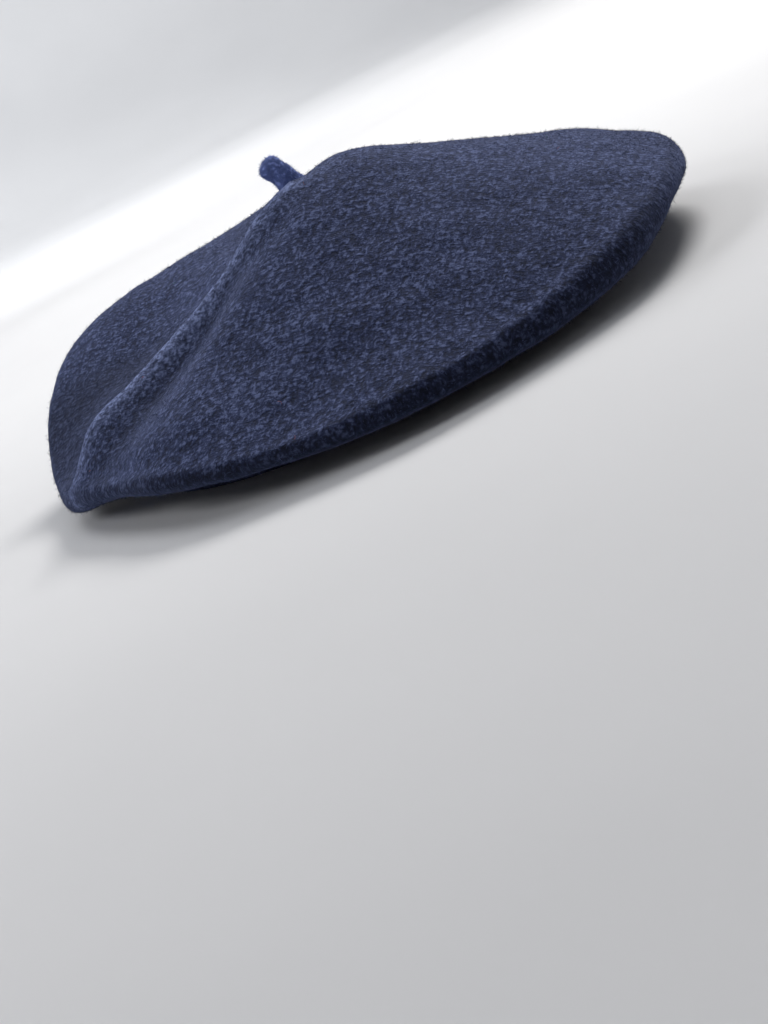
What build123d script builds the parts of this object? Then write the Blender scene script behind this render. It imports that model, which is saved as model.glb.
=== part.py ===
from build123d import *
import math
import os
import numpy as np

# Felt beret with a small stalk, as it drapes over a head. Millimetres.
# Origin: centre of the head opening, level with its lower edge. +Z runs out through the crown,
# -Y is the wearer's front, -X the wearer's right.

# ---- driving dimensions
HEAD_R = 91.0          # inside radius of the sweatband: 572 mm round, size 57
BAND_T = 1.4           # leather thickness
BAND_H = 20.0          # sweatband height
BAND_OUT = HEAD_R + BAND_T
BAND_R = 95.4          # outside radius of the felt round the head opening
FELT_T = 2.6           # felt thickness
RIM_T = 1.9            # felt thickness where the rim folds
HEM_THIN = 0.6         # felt is pressed this much thinner round the head opening
LINING_D = 4.1         # depth of the lining's outer face below the felt's outer face
LINING_SAG = 4.4       # how much deeper the lining hangs at the crown's centre
LINING_T = 0.5
CROWN_Z = 71.0         # height of the crown's centre
STALK_L = 14.5         # stalk length above the felt
STALK_R = 4.6          # stalk radius
STALK_LEAN = 33.0      # degrees away from +Z, towards the wearer's back right
TRAVEL = 40.0          # how far the crown's centre goes down when the hat is pressed flat
HOLE_R = 3.0           # hole in the felt for the stalk's root
CENTRE_U, CENTRE_W = -1.0, -6.5    # crown's centre, off the opening's axis
PSI = math.radians(28.0)   # azimuth 0 of the drape, from the wearer's front towards the left
RIDGE_H, RIDGE_BACK, RIDGE_FRONT = 4.9, 6.5, 9.5   # main fold: height, and width on each side

AZ = np.arange(0, 360, 15.0)     # azimuth 0 points to the wearer's front left, and grows towards the wearer's right
TAB = {                          # millimetres, one value for each azimuth
    "z20": [73.2, 72.5, 71.5, 70.2, 69.5, 68.8, 68.8, 68.0, 67.1, 66.6, 65.9, 64.5, 62.8, 62.2, 63.3, 64.7, 66.1, 67.7, 69.8, 71.5, 72.8, 73.7, 74.4, 74.1],
    "z42": [65.4, 64.1, 62.0, 60.3, 59.0, 57.9, 57.8, 57.2, 56.3, 55.4, 54.6, 53.8, 50.1, 49.8, 53.9, 56.9, 59.4, 62.2, 64.7, 66.1, 66.7, 66.9, 67.1, 66.8],
    "z66": [55.3, 53.7, 51.7, 49.1, 47.1, 45.2, 44.5, 44.4, 43.6, 42.2, 41.0, 42.9, 40.9, 42.4, 48.1, 51.9, 55.9, 59.2, 62.0, 60.8, 58.4, 56.2, 56.3, 56.7],
    "z90": [45.4, 43.4, 41.0, 38.1, 35.1, 32.5, 32.2, 32.1, 31.4, 31.8, 32.9, 34.4, 32.2, 35.3, 44.0, 50.2, 54.7, 58.3, 60.6, 56.1, 50.2, 46.2, 46.6, 47.1],
    "z110": [36.6, 34.8, 32.3, 28.8, 25.7, 22.4, 22.0, 21.8, 24.3, 25.1, 24.9, 26.9, 23.4, 30.7, 43.7, 51.4, 55.9, 58.9, 59.4, 52.1, 43.2, 37.6, 37.6, 38.2],
    "zt": [30.7, 28.8, 26.5, 23.1, 19.7, 16.2, 15.7, 15.6, 18.1, 20.0, 19.8, 18.4, 15.0, 24.4, 44.0, 54.5, 56.4, 57.7, 56.8, 47.5, 37.3, 31.0, 31.3, 32.2],
    "zb": [9.9, 13.3, 12.8, 8.1, 5.1, 5.3, 5.7, 7.1, 9.7, 11.0, 11.0, 6.7, 3.4, 13.2, 30.6, 37.8, 38.0, 35.5, 31.4, 23.9, 15.3, 8.7, 5.7, 7.2],
    "R": [130.3, 128.5, 128.3, 130.5, 130.5, 130.9, 133.1, 131.0, 129.3, 125.5, 122.5, 126.6, 130.9, 138.1, 142.3, 141.4, 139.3, 137.8, 136.5, 135.4, 133.2, 131.6, 130.5, 131.2],
}
# meridian stations, roughly by arc length from the centre of the crown
T = np.array([0, 21, 46, 73, 100, 122, 136, 142.5, 149, 155.5, 162, 177, 187, 192, 200.0])
T_RIM, T_END = 149.0, 200.0


def periodic_matrix(keys, at):
    """Weights of a C2 periodic cubic spline through values at the key azimuths."""
    k = np.asarray(keys, float)
    n = len(k)
    h = np.diff(np.append(k, k[0] + 360.0))
    A = np.zeros((n, n))
    B = np.zeros((n, n))
    for i in range(n):
        hm, hp = h[i - 1], h[i]
        A[i, (i - 1) % n] += hm
        A[i, i] += 2 * (hm + hp)
        A[i, (i + 1) % n] += hp
        B[i, (i + 1) % n] += 6 / hp
        B[i, i] -= 6 / hp + 6 / hm
        B[i, (i - 1) % n] += 6 / hm
    M = np.linalg.solve(A, B)
    a = np.mod(np.asarray(at, float), 360.0)
    j = np.searchsorted(k, a, side="right") - 1
    hh = h[j]
    w1 = (a - k[j]) / hh
    w0 = 1 - w1
    eye = np.eye(n)
    jn = (j + 1) % n
    return (w0[:, None] * eye[j] + w1[:, None] * eye[jn]
            + ((w0 ** 3 - w0) * hh ** 2 / 6)[:, None] * M[j] + ((w1 ** 3 - w1) * hh ** 2 / 6)[:, None] * M[jn])


def spline_matrix(knots, at):
    """Weights of a natural cubic spline through values at the knots."""
    k = np.asarray(knots, float)
    n = len(k)
    h = np.diff(k)
    A = np.zeros((n, n))
    B = np.zeros((n, n))
    A[0, 0] = A[-1, -1] = 1
    for i in range(1, n - 1):
        A[i, i - 1] = h[i - 1]
        A[i, i] = 2 * (h[i - 1] + h[i])
        A[i, i + 1] = h[i]
        B[i, i + 1] = 6 / h[i]
        B[i, i] = -6 / h[i] - 6 / h[i - 1]
        B[i, i - 1] = 6 / h[i - 1]
    M = np.linalg.solve(A, B)
    a = np.asarray(at, float)
    j = np.clip(np.searchsorted(k, a, side="right") - 1, 0, n - 2)
    hh = h[j]
    w1 = (a - k[j]) / hh
    w0 = 1 - w1
    eye = np.eye(n)
    return (w0[:, None] * eye[j] + w1[:, None] * eye[j + 1]
            + ((w0 ** 3 - w0) * hh ** 2 / 6)[:, None] * M[j] + ((w1 ** 3 - w1) * hh ** 2 / 6)[:, None] * M[j + 1])


def fold(u, w, t):
    """Height that the folds add at a place (u, w) in plan; t fades them out at the rim."""
    def across(a0, u0, w0):
        a = math.radians(a0)
        return ((w - w0) * math.cos(a) - (u - u0) * math.sin(a),
                (u - u0) * math.cos(a) + (w - w0) * math.sin(a))

    def along(s, s0, k0, t1, k1):
        return 0.25 * (1 + np.tanh((s - s0) / k0)) * (1 - np.tanh((t - t1) / k1))

    x, s = across(166.6, 0.0, 2.5)                      # main ridge, past the stalk and down to the rim
    out = RIDGE_H * along(s, -7, 9, 136, 9) * np.exp(-(x / np.where(x > 0, RIDGE_BACK, RIDGE_FRONT)) ** 2)
    x, s = across(181.5, 0.0, 0.0)                      # valley close behind it, and the slack panel beyond
    out = out - 3.6 * along(s, 24, 13, 128, 11) * np.exp(-(x / 12.0) ** 2)
    x, s = across(209.0, 0.0, 0.0)
    out = out - 5.4 * along(s, 41, 15, 122, 13) * np.exp(-(x / 29.0) ** 2)
    x, s = across(153.0, 0.0, 2.0)                      # hollow before it, then the crown swells again
    out = out - 3.3 * along(s, 30, 16, 124, 13) * np.exp(-(x / 12.5) ** 2)
    x, s = across(134.0, 0.0, 0.0)
    out = out + 4.4 * along(s, 42, 16, 118, 14) * np.exp(-(x / 22.0) ** 2)
    return out


def outer(az, t, folds=True):
    """Outer face of the felt, (len(t), len(az), 3), in X, Y, Z millimetres."""
    az = np.asarray(az, float)
    t = np.asarray(t, float)
    P = periodic_matrix(AZ, az)
    v = {k: P @ np.array(x, float) for k, x in TAB.items()}
    R, zt, zb = v["R"], v["zt"], v["zb"]
    one = np.ones(len(az))
    roll = np.clip((zt - zb) / 19.0, 0.5, 1.15)        # a thin rim folds tighter
    low = R - 10 * roll
    rho = np.array([0 * one, 20 * one, 42 * one, 66 * one, 90 * one, 110 * one, R - 9 * roll, R - 2.8 * roll, R,
                    R - 2.9 * roll, low,
                    0.42 * low + 0.58 * 97.0, (BAND_R + 3.2) * one, (BAND_R + 0.5) * one, BAND_R * one])
    z = np.array([CROWN_Z * one, v["z20"], v["z42"], v["z66"], v["z90"], v["z110"], zt - 0.6,
                  zb + 0.82 * (zt - zb) - 0.4, zb + 0.47 * (zt - zb) - 0.3, zb + 0.13 * (zt - zb), zb,
                  0.42 * zb + 0.58 * 9.5, 9.6 * one, 6.0 * one, 0 * one])
    B = spline_matrix(T, t)
    rr = B @ rho
    zz = B @ z
    A, TT = np.meshgrid(az, t)
    a = np.radians(A)
    g = np.exp(-(TT / 45.0) ** 2)                       # the crown's centre sits a little off the opening's axis
    u, w = rr * np.cos(a) + CENTRE_U * g, rr * np.sin(a) + CENTRE_W * g
    if folds:
        zz = zz + fold(u, w, TT)
    s, c = math.sin(PSI), math.cos(PSI)
    return np.stack([u * s - w * c, -u * c - w * s, zz], -1)


def normals(az, t):
    """Outward unit normals of the felt without its folds."""
    e = 0.25
    t = np.asarray(t, float)
    az = np.asarray(az, float)
    lo, hi = np.maximum(t - e, 0.5), np.minimum(t + e, T_END)
    dt = outer(az, hi, False) - outer(az, lo, False)
    da = outer(az + 0.4, t, False) - outer(az - 0.4, t, False)
    n = np.cross(da, dt)
    n /= np.linalg.norm(n, axis=2, keepdims=True)
    if n[0, :, 2].mean() < 0:
        n = -n
    return n


def layer(az, t, depth):
    """Points at a depth below the felt's outer face."""
    return outer(az, t) - depth * normals(az, t)


# ---- helpers
def export(shape, name):
    export_step(shape, "parts/%s.step" % name)
    print(name, "solids", len(shape.solids()), "volume %.1f" % sum(s.volume for s in shape.solids()))


def ring_wire(points):
    """Closed smooth wire through one ring of points."""
    pts = [Vector(*p) for p in points]
    n = len(pts)
    return Wire([Edge.make_spline(pts, periodic=True, parameters=[i / n for i in range(n + 1)])])


def thin_shell(top, under):
    """Closed thin solid between two stacks of rings. A stack may start at a single point."""
    def first(stack):
        return Vertex(*stack[0]) if np.ndim(stack[0]) == 1 else ring_wire(stack[0])
    wt = [first(top)] + [ring_wire(r) for r in top[1:]]
    wu = [first(under)] + [ring_wire(r) for r in under[1:]]
    faces = list(Shell.make_loft(wt, False).faces()) + list(Shell.make_loft(wu, False).faces())
    if np.ndim(top[0]) > 1:
        faces += list(Shell.make_loft([wt[0], wu[0]], True).faces())
    faces += list(Shell.make_loft([wt[-1], wu[-1]], True).faces())
    return Solid(Shell(faces))


def uw(u, w, z=0.0):
    """Point from the drape's plan axes."""
    s, c = math.sin(PSI), math.cos(PSI)
    return Vector(u * s - w * c, -u * c - w * s, z)


def around(az_deg):
    a = math.radians(az_deg)
    return uw(math.cos(a), math.sin(a))


def bar(origin, x_dir, z_dir, lx, ly, lz):
    """Stitch: a small bar with rounded long edges, lx along x_dir, lz along z_dir."""
    b = Box(lx, ly, lz)
    b = fillet(b.edges().filter_by(Axis.X), min(ly, lz) * 0.3)
    return Plane(origin=origin, x_dir=x_dir, z_dir=z_dir) * b


def group(items):
    return Compound(children=list(items))


os.makedirs("parts", exist_ok=True)
AZS = np.arange(0, 360, 6.0)
BACK = 180.0 + math.degrees(PSI)                       # drape azimuth of the wearer's back

# ---- felt body: one seamless shell, from the stalk's hole over the rim to the head opening
ts = np.array([3, 9, 16, 24, 34, 46, 60, 74, 88, 100, 111, 121, 129, 136, 142.5, 149, 155.5, 162, 169, 177, 183, 187, 190, 193, 200.0])
face = outer(AZS, ts)
depth = FELT_T - (FELT_T - RIM_T) * np.exp(-((ts - T_RIM) / 9.0) ** 2)
depth -= HEM_THIN / (1 + np.exp(-(ts - 183.0) / 1.5))
back = face - depth[:, None, None] * normals(AZS, ts)
back[-1, :, 2] = 0
felt_shell = thin_shell(list(face), list(back))
export(felt_shell, "felt_shell")

# ---- lining: a crown piece, and a side piece that runs from its seam to behind the sweatband
tl = np.array([4, 8, 13, 19, 26, 34, 42, 51, 60, 70, 80, 89, 97.0])
deep = LINING_D + LINING_SAG * np.exp(-(tl / 16.0) ** 2)
n_l = normals(AZS, tl)
tip_out = outer(AZS, tl) - deep[:, None, None] * n_l
tip_in = tip_out - LINING_T * n_l
n_c = normals(AZS, [2.0])[0].mean(axis=0)
n_c /= np.linalg.norm(n_c)
apex = outer(AZS, [0.0])[0].mean(axis=0) - (LINING_D + LINING_SAG) * n_c
lining_tip = thin_shell([apex] + list(tip_out), [apex - LINING_T * n_c] + list(tip_in))
export(lining_tip, "lining_tip")

dirs = np.array([[*around(a)][:2] + [0] for a in AZS])
seam = tip_in[-1] - 0.35 * n_l[-1]                     # the side piece starts just under the crown piece's edge
seam_r = np.hypot(seam[:, 0], seam[:, 1])[:, None]
seam_d = seam * [1, 1, 0] / seam_r
low_r, low_z = BAND_OUT + 0.35, BAND_H - 5.0
rings_o, rings_i = [], []
for f in (0.0, 0.18, 0.42, 0.68, 0.86):                # down towards the band's top edge
    r = seam_r + (low_r + 1.0 - seam_r) * f + 2.4 * np.sin(math.pi * f)
    z = seam[:, 2:3] + (BAND_H + 1.5 - seam[:, 2:3]) * f
    p = seam_d * r + np.array([0, 0, 1.0]) * z
    rings_o.append(p)
    rings_i.append(p - seam_d * LINING_T * 0.9 - np.array([0, 0, 0.25]))
for z in (BAND_H - 1.0, low_z):                        # and straight down behind the band
    p = seam_d * (low_r + LINING_T) + np.array([0, 0, z])
    rings_o.append(p)
    rings_i.append(p - seam_d * LINING_T)
lining_side = thin_shell(rings_o, rings_i)
export(lining_side, "lining_side")

# ---- sweatband: leather strip round the opening, its ends butted at the back
sweatband = Cylinder(BAND_OUT, BAND_H, align=(Align.CENTER, Align.CENTER, Align.MIN))
sweatband = fillet(sweatband.edges(), 0.5) - Cylinder(HEAD_R, BAND_H * 3)
b_dir = around(BACK)
sweatband -= Plane(origin=b_dir * HEAD_R + Vector(0, 0, BAND_H / 2), x_dir=Vector(0, 0, 1), z_dir=b_dir) * Box(BAND_H + 2, 0.5, 8)
export(sweatband, "sweatband")


def run_round(n, z, length, skip=1.6, tilt=0.0):
    """Stitches round the inside of the band, proud by an eighth of a millimetre."""
    out = []
    for i in range(n):
        a = BACK + 360.0 * (i + 0.5) / n
        d = (a - BACK + 180) % 360 - 180
        if abs(d) < skip:
            continue
        r = around(a)
        t = Vector(-r.Y, r.X, 0)
        out.append(bar(r * (HEAD_R + 0.12) + Vector(0, 0, z), t + Vector(0, 0, tilt), r, length, 0.7, 0.5))
    return out


export(group(run_round(118, 2.8, 3.5)), "sweatband_stitches")
export(group(run_round(84, BAND_H - 2.6, 4.2, tilt=0.12)), "lining_hem_stitches")
t_dir = Vector(-b_dir.Y, b_dir.X, 0)
zig = []
for i in range(7):
    z = 5.0 + i * 1.85
    s = 1 if i % 2 else -1
    zig.append(bar(b_dir * HEAD_R + Vector(0, 0, z), (t_dir * 3.0 + Vector(0, 0, 1.3 * s)).normalized(), b_dir, 3.0, 0.6, 0.5))
export(group(zig), "sweatband_joint_stitches")

# ---- stitches along the lining's seam, on the crown piece's inner face
n_s = normals(AZS, tl[-1:])[0]
seam_bars = []
ang = np.arange(0, 360, 4.5)
sp = outer(ang, [tl[-1] - 3.0])[0]
sn = normals(ang, [tl[-1] - 3.0])[0]
sq = sp - (LINING_D + LINING_T + 1.05) * sn
for i in range(len(ang)):
    tg = Vector(*(np.roll(sq, -1, 0)[i] - np.roll(sq, 1, 0)[i])).normalized()
    nn = Vector(*sn[i])
    nn = (nn - tg * nn.dot(tg)).normalized()
    seam_bars.append(bar(Vector(*sq[i]), tg, nn, 3.4, 0.6, 0.4))
export(group(seam_bars), "lining_seam_stitches")

# ---- stalk and its root
base = Vector(*outer(AZS, [0.0])[0].mean(axis=0))
n_c = Vector(*n_c).normalized()
lean = math.radians(STALK_LEAN)
s_dir = uw(-math.sin(lean) * 0.965, -math.sin(lean) * 0.26, math.cos(lean)).normalized()
pivot = base + n_c * (STALK_R + 0.35)
run = STALK_L - 0.35 - 2 * STALK_R
k = STALK_R * math.sqrt(0.5)
prof = Wire([
    Edge.make_three_point_arc(Vector(0, 0, -STALK_R), Vector(k, 0, -k), Vector(STALK_R, 0, 0)),
    Edge.make_spline([Vector(STALK_R, 0, 0), Vector(STALK_R - 0.15, 0, run * 0.5), Vector(STALK_R, 0, run)],
                     tangents=[Vector(0, 0, 1), Vector(0, 0, 1)]),
    Edge.make_three_point_arc(Vector(STALK_R, 0, run), Vector(k, 0, run + k), Vector(0, 0, run + STALK_R)),
    Edge.make_line(Vector(0, 0, run + STALK_R), Vector(0, 0, -STALK_R)),
])
stalk = Plane(origin=pivot, z_dir=s_dir) * Solid(revolve(Face(prof), axis=Axis.Z).wrapped)
export(stalk, "stalk")
root_pl = Plane(origin=base, z_dir=n_c)
neck = root_pl * Pos(0, 0, -2.2) * Cylinder(2.2, 4.8)
foot = root_pl * Pos(0, 0, -4.9) * fillet(Cylinder(4.3, 1.4).edges(), 0.4)
root = neck + foot
export(root, "stalk_root")
cross = []
for i in range(6):
    a = math.radians(60 * i)
    d = root_pl.x_dir * math.cos(a) + root_pl.y_dir * math.sin(a)
    cross.append(bar(base - n_c * 5.62 + d * 2.4, d, n_c, 2.6, 0.6, 0.4))
export(group(cross), "stalk_root_stitches")

# ---- woven label, sewn under the middle of the lining and curved with it
gaz, gt = np.arange(0, 360, 10.0), np.arange(2, 38, 3.0)
gd = LINING_D + LINING_SAG * np.exp(-(gt / 16.0) ** 2) + LINING_T
cloud = (outer(gaz, gt) - gd[:, None, None] * normals(gaz, gt)).reshape(-1, 3)


def terms(x, y):
    x, y = np.asarray(x) / 30.0, np.asarray(y) / 30.0
    return np.stack([x ** i * y ** j for i in range(5) for j in range(5 - i)], -1)


coef, *_ = np.linalg.lstsq(terms(cloud[:, 0], cloud[:, 1]), cloud[:, 2], rcond=None)
drop = -(cloud[:, 2] - terms(cloud[:, 0], cloud[:, 1]) @ coef).min() + 0.35


def below(x, y):
    return float(terms(x, y) @ coef) - drop


LABEL_W, LABEL_D, LABEL_T = 44.0, 24.0, 0.6
LX, LY = 2.0, -4.0
rows = []
for x in np.linspace(LX - LABEL_W / 2, LX + LABEL_W / 2, 9):
    ys = np.linspace(LY - LABEL_D / 2, LY + LABEL_D / 2, 7)
    top = [Vector(x, y, below(x, y)) for y in ys]
    low = [p - Vector(0, 0, LABEL_T) for p in top]
    rows.append(Wire([Edge.make_spline(top), Edge.make_line(top[-1], low[-1]),
                      Edge.make_spline(low[::-1]), Edge.make_line(low[0], top[0])]))
export(Solid.make_loft(rows), "woven_label")
bars = []
ex, ey = LABEL_W / 2 - 1.3, LABEL_D / 2 - 1.3
spots = [(x, s * ey, 1, 0) for s in (-1, 1) for x in np.arange(-ex + 2.2, ex, 3.6)]
spots += [(s * ex, y, 0, 1) for s in (-1, 1) for y in np.arange(-ey + 2.0, ey, 3.6)]
for x, y, dx, dy in spots:
    x, y = x + LX, y + LY
    p = Vector(x, y, below(x, y) - LABEL_T - 0.1)
    q = Vector(x + dx, y + dy, below(x + dx, y + dy) - LABEL_T - 0.1)
    tg = (q - p).normalized()
    side = Vector(0, 0, 1).cross(tg).normalized()
    bars.append(bar(p, tg, tg.cross(side).normalized(), 2.0, 0.5, 0.4))
export(group(bars), "woven_label_stitches")

# ---- care label, hanging from the lining's seam on the left
CARE_AZ, CARE_W, CARE_H, CARE_T = 252.0, 14.0, 24.0, 0.4
CARE_R, CARE_Z = 86.3, 50.0
c_dir = around(CARE_AZ)
c_tan = Vector(-c_dir.Y, c_dir.X, 0)
care = Plane(origin=c_dir * CARE_R + Vector(0, 0, CARE_Z - CARE_H / 2), x_dir=c_tan, z_dir=c_dir) * Box(CARE_W, CARE_H, CARE_T)
care = fillet(care.edges().filter_by(lambda e: abs((e % 0.5).dot(c_dir)) > 0.9), 1.2)
export(care, "care_label")
print("care hinge", tuple(c_dir * CARE_R + Vector(0, 0, CARE_Z)), "axis", tuple(c_tan))

# ---- ribbon bow on the band's top edge, over the joint
BOW_R, BOW_Z, RIB_W, RIB_T = 86.6, 24.0, 4.0, 0.5
bow_pl = Plane(origin=b_dir * BOW_R + Vector(0, 0, BOW_Z), x_dir=t_dir, z_dir=Vector(0, 0, 1))
loops = []
for s in (-1, 1):
    e_out = Ellipse(7.0, 1.75)
    e_in = Ellipse(7.0 - RIB_T, 1.75 - RIB_T)
    loops.append(bow_pl * Pos(s * 8.2, 0, 0) * Rot(0, s * -8, 0) * extrude(e_out - e_in, RIB_W / 2, both=True))
    tail = Box(10.0, RIB_T, RIB_W - 1.0)
    loops.append(bow_pl * Pos(s * 6.8, -1.25 - RIB_T, -1.2) * Rot(0, s * 9, 0) * Rot(0, 0, s * -3) * tail)
export(group(loops), "ribbon_bow")
knot = bow_pl * Pos(0, -0.5, 0) * fillet(Box(4.4, 3.6, 5.2).edges(), 1.0)
export(knot, "ribbon_bow_knot")
print("stalk pivot", tuple(pivot), "dir", tuple(s_dir), "base", tuple(base), "normal", tuple(n_c))
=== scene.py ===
import math
import bpy
import numpy as np
from mathutils import Vector, Matrix


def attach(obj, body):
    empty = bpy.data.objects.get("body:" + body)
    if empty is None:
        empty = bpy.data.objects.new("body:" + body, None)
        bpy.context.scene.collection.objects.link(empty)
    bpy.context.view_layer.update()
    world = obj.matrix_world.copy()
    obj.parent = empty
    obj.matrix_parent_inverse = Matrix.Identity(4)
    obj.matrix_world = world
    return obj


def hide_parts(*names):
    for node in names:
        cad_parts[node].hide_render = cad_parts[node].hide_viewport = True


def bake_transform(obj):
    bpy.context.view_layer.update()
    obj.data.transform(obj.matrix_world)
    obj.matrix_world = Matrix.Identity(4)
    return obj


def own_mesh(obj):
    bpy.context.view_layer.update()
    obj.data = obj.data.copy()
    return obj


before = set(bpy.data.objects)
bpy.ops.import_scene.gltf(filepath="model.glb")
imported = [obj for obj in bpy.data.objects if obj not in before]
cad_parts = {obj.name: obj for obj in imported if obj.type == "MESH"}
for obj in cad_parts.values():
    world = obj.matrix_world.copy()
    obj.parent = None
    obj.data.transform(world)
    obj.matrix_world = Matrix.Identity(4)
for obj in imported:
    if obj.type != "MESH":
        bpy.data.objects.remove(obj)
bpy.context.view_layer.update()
MM = 0.001

# dimensions, as in the CAD (millimetres)
HEAD_R, BAND_T, BAND_H = 91.0, 1.4, 20.0
BAND_OUT = HEAD_R + BAND_T
BAND_R = 95.4
FELT_T, RIM_T = 2.6, 1.9
LINING_D, LINING_SAG, LINING_T = 4.1, 4.4, 0.5
CROWN_Z = 71.0
STALK_L, STALK_R, STALK_LEAN = 14.5, 4.6, 33.0
TRAVEL = 40.0
CENTRE_U, CENTRE_W = -1.0, -6.5
PSI = math.radians(28.0)
RIDGE_H, RIDGE_BACK, RIDGE_FRONT = 4.9, 6.5, 9.5

# ------------------------------------------------------------------ the drape
AZ = np.arange(0, 360, 15.0)     # azimuth 0 points to the wearer's front left, and grows towards the wearer's right
TAB = {                          # millimetres, one value for each azimuth
    "z20": [73.2, 72.5, 71.5, 70.2, 69.5, 68.8, 68.8, 68.0, 67.1, 66.6, 65.9, 64.5, 62.8, 62.2, 63.3, 64.7, 66.1, 67.7, 69.8, 71.5, 72.8, 73.7, 74.4, 74.1],
    "z42": [65.4, 64.1, 62.0, 60.3, 59.0, 57.9, 57.8, 57.2, 56.3, 55.4, 54.6, 53.8, 50.1, 49.8, 53.9, 56.9, 59.4, 62.2, 64.7, 66.1, 66.7, 66.9, 67.1, 66.8],
    "z66": [55.3, 53.7, 51.7, 49.1, 47.1, 45.2, 44.5, 44.4, 43.6, 42.2, 41.0, 42.9, 40.9, 42.4, 48.1, 51.9, 55.9, 59.2, 62.0, 60.8, 58.4, 56.2, 56.3, 56.7],
    "z90": [45.4, 43.4, 41.0, 38.1, 35.1, 32.5, 32.2, 32.1, 31.4, 31.8, 32.9, 34.4, 32.2, 35.3, 44.0, 50.2, 54.7, 58.3, 60.6, 56.1, 50.2, 46.2, 46.6, 47.1],
    "z110": [36.6, 34.8, 32.3, 28.8, 25.7, 22.4, 22.0, 21.8, 24.3, 25.1, 24.9, 26.9, 23.4, 30.7, 43.7, 51.4, 55.9, 58.9, 59.4, 52.1, 43.2, 37.6, 37.6, 38.2],
    "zt": [30.7, 28.8, 26.5, 23.1, 19.7, 16.2, 15.7, 15.6, 18.1, 20.0, 19.8, 18.4, 15.0, 24.4, 44.0, 54.5, 56.4, 57.7, 56.8, 47.5, 37.3, 31.0, 31.3, 32.2],
    "zb": [9.9, 13.3, 12.8, 8.1, 5.1, 5.3, 5.7, 7.1, 9.7, 11.0, 11.0, 6.7, 3.4, 13.2, 30.6, 37.8, 38.0, 35.5, 31.4, 23.9, 15.3, 8.7, 5.7, 7.2],
    "R": [130.3, 128.5, 128.3, 130.5, 130.5, 130.9, 133.1, 131.0, 129.3, 125.5, 122.5, 126.6, 130.9, 138.1, 142.3, 141.4, 139.3, 137.8, 136.5, 135.4, 133.2, 131.6, 130.5, 131.2],
}
# meridian stations, roughly by arc length from the centre of the crown
T = np.array([0, 21, 46, 73, 100, 122, 136, 142.5, 149, 155.5, 162, 177, 187, 192, 200.0])
T_RIM, T_END = 149.0, 200.0


def periodic_matrix(keys, at):
    """Weights of a C2 periodic cubic spline through values at the key azimuths."""
    k = np.asarray(keys, float)
    n = len(k)
    h = np.diff(np.append(k, k[0] + 360.0))
    A = np.zeros((n, n))
    B = np.zeros((n, n))
    for i in range(n):
        hm, hp = h[i - 1], h[i]
        A[i, (i - 1) % n] += hm
        A[i, i] += 2 * (hm + hp)
        A[i, (i + 1) % n] += hp
        B[i, (i + 1) % n] += 6 / hp
        B[i, i] -= 6 / hp + 6 / hm
        B[i, (i - 1) % n] += 6 / hm
    M = np.linalg.solve(A, B)
    a = np.mod(np.asarray(at, float), 360.0)
    j = np.searchsorted(k, a, side="right") - 1
    hh = h[j]
    w1 = (a - k[j]) / hh
    w0 = 1 - w1
    eye = np.eye(n)
    jn = (j + 1) % n
    return (w0[:, None] * eye[j] + w1[:, None] * eye[jn]
            + ((w0 ** 3 - w0) * hh ** 2 / 6)[:, None] * M[j] + ((w1 ** 3 - w1) * hh ** 2 / 6)[:, None] * M[jn])


def spline_matrix(knots, at):
    """Weights of a natural cubic spline through values at the knots."""
    k = np.asarray(knots, float)
    n = len(k)
    h = np.diff(k)
    A = np.zeros((n, n))
    B = np.zeros((n, n))
    A[0, 0] = A[-1, -1] = 1
    for i in range(1, n - 1):
        A[i, i - 1] = h[i - 1]
        A[i, i] = 2 * (h[i - 1] + h[i])
        A[i, i + 1] = h[i]
        B[i, i + 1] = 6 / h[i]
        B[i, i] = -6 / h[i] - 6 / h[i - 1]
        B[i, i - 1] = 6 / h[i - 1]
    M = np.linalg.solve(A, B)
    a = np.asarray(at, float)
    j = np.clip(np.searchsorted(k, a, side="right") - 1, 0, n - 2)
    hh = h[j]
    w1 = (a - k[j]) / hh
    w0 = 1 - w1
    eye = np.eye(n)
    return (w0[:, None] * eye[j] + w1[:, None] * eye[j + 1]
            + ((w0 ** 3 - w0) * hh ** 2 / 6)[:, None] * M[j] + ((w1 ** 3 - w1) * hh ** 2 / 6)[:, None] * M[j + 1])


def fold(u, w, t):
    """Height that the folds add at a place (u, w) in plan; t fades them out at the rim."""
    def across(a0, u0, w0):
        a = math.radians(a0)
        return ((w - w0) * math.cos(a) - (u - u0) * math.sin(a),
                (u - u0) * math.cos(a) + (w - w0) * math.sin(a))

    def along(s, s0, k0, t1, k1):
        return 0.25 * (1 + np.tanh((s - s0) / k0)) * (1 - np.tanh((t - t1) / k1))

    x, s = across(166.6, 0.0, 2.5)                      # main ridge, past the stalk and down to the rim
    out = RIDGE_H * along(s, -7, 9, 136, 9) * np.exp(-(x / np.where(x > 0, RIDGE_BACK, RIDGE_FRONT)) ** 2)
    x, s = across(181.5, 0.0, 0.0)                      # valley close behind it, and the slack panel beyond
    out = out - 3.6 * along(s, 24, 13, 128, 11) * np.exp(-(x / 12.0) ** 2)
    x, s = across(209.0, 0.0, 0.0)
    out = out - 5.4 * along(s, 41, 15, 122, 13) * np.exp(-(x / 29.0) ** 2)
    x, s = across(153.0, 0.0, 2.0)                      # hollow before it, then the crown swells again
    out = out - 3.3 * along(s, 30, 16, 124, 13) * np.exp(-(x / 12.5) ** 2)
    x, s = across(134.0, 0.0, 0.0)
    out = out + 4.4 * along(s, 42, 16, 118, 14) * np.exp(-(x / 22.0) ** 2)
    return out


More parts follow.
